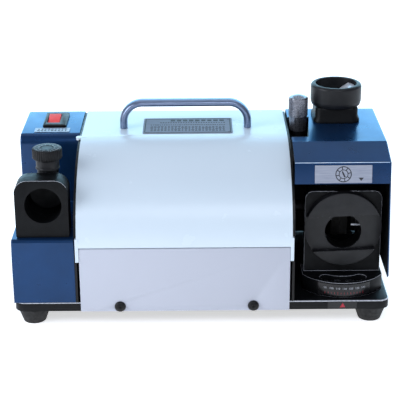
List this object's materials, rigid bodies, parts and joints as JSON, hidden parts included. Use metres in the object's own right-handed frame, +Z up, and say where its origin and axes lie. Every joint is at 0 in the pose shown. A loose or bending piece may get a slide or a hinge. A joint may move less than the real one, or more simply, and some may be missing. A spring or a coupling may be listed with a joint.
{
  "type": "drill bit sharpener",
  "caption": "Bench drill grinder: cast base on rubber feet, curved motor cover with handle, setting port and dial on the left, wheel hood with swivelling grinding port on the right.",
  "frame": {"origin": "middle of the bounding box's bottom face, on the surface that the rubber feet stand on", "axes": "+X along the base to the operator's right, +Y away from the operator, +Z up"},
  "size_m": [0.448, 0.2504, 0.2515],
  "materials": {
    "white_enamel": "gloss",
    "blue_enamel": "gloss",
    "black_casting": "satin",
    "black_anodised": "satin",
    "black_steel": "satin",
    "black_plastic": "satin",
    "red_plastic": "gloss",
    "chrome": "polished",
    "bright_steel": "machined",
    "aluminium": "satin",
    "motor_enamel": "satin",
    "rubber": "matt",
    "abrasive": "rough"
  },
  "bodies": {
    "root": {"top_cover": "white_enamel", "front_panel": "white_enamel", "rear_panel": "white_enamel", "left_cover": "blue_enamel", "right_cover": "blue_enamel", "base_plate": "black_casting", "setting_block": "black_anodised", "setting_housing": "black_anodised", "dial_neck": "black_anodised", "web_port_neck": "black_anodised", "web_port_ring": "black_anodised", "left_frame": "black_steel", "right_frame": "black_steel", "front_screw_left": "black_steel", "front_screw_right": "black_steel", "pit_tray": "black_steel", "feed_pedestal": "black_steel", "swivel_clamp_left": "black_steel", "swivel_clamp_right": "black_steel", "wheel_guard": "black_steel", "switch_bezel": "black_plastic", "power_inlet": "black_plastic", "index_plate": "black_plastic", "handle": "chrome", "web_port_cam": "bright_steel", "web_port_sleeve": "bright_steel", "swivel_pin": "bright_steel", "carriage_rail_front": "bright_steel", "carriage_rail_rear": "bright_steel", "nameplate": "aluminium", "switch_label": "aluminium", "front_label": "aluminium", "capacitor": "aluminium", "foot_front_left": "rubber", "foot_front_right": "rubber", "foot_rear_left": "rubber", "foot_rear_right": "rubber"},
    "rocker": {"switch_rocker": "red_plastic"},
    "dial": {"size_dial": "black_plastic", "dial_spindle": "bright_steel"},
    "stop": {"tip_stop": "bright_steel"},
    "swivel": {"swivel_bracket": "black_anodised", "port_disc": "black_anodised", "port_sleeve": "bright_steel", "scale_plate": "black_plastic"},
    "feed": {"feed_knob": "bright_steel", "feed_spindle": "bright_steel"},
    "carriage": {"motor_cradle": "black_anodised", "feed_fork": "black_anodised", "motor_body": "motor_enamel", "end_shield_left": "aluminium", "end_shield_right": "aluminium", "bearing_left": "bright_steel", "bearing_right": "bright_steel"},
    "rotor": {"motor_shaft": "bright_steel", "fan": "black_plastic", "wheel_flange": "bright_steel", "grinding_wheel": "abrasive", "wheel_nut": "bright_steel"}
  },
  "joints": [
    {"name": "rocker_tilt", "type": "hinge", "parent": "root", "child": "rocker", "pos_m": [-0.1867, 0.0645, 0.2013], "axis": [1, 0, 0], "range_deg": [-16, 0]},
    {"name": "dial_turn", "type": "hinge", "parent": "root", "child": "dial", "pos_m": [-0.1816, -0.071, 0.2], "axis": [0, 0, 1], "range_deg": [0, 330]},
    {"name": "stop_lift", "type": "slide", "parent": "root", "child": "stop", "axis": [0, 0, -1], "range_m": [0, 0.008]},
    {"name": "swivel_turn", "type": "hinge", "parent": "root", "child": "swivel", "pos_m": [0.1705, -0.0575, 0.05], "axis": [0, 0, 1], "range_deg": [-13, 10]},
    {"name": "feed_turn", "type": "hinge", "parent": "root", "child": "feed", "pos_m": [0.1228, 0.04, 0.2], "axis": [0, 0, 1], "range_deg": [-60, 60]},
    {"name": "carriage_slide", "type": "slide", "parent": "root", "child": "carriage", "axis": [1, 0, 0], "range_m": [-0.002, 0.002]},
    {"name": "rotor_spin", "type": "hinge", "parent": "carriage", "child": "rotor", "pos_m": [0, 0.01, 0.103], "axis": [1, 0, 0], "continuous": true}
  ],
  "couplings": [
    {"joint": "stop_lift", "follows": "dial_turn", "m_per_rad": 0.001388},
    {"joint": "feed_turn", "follows": "carriage_slide", "rad_per_m": 523.6}
  ]
}
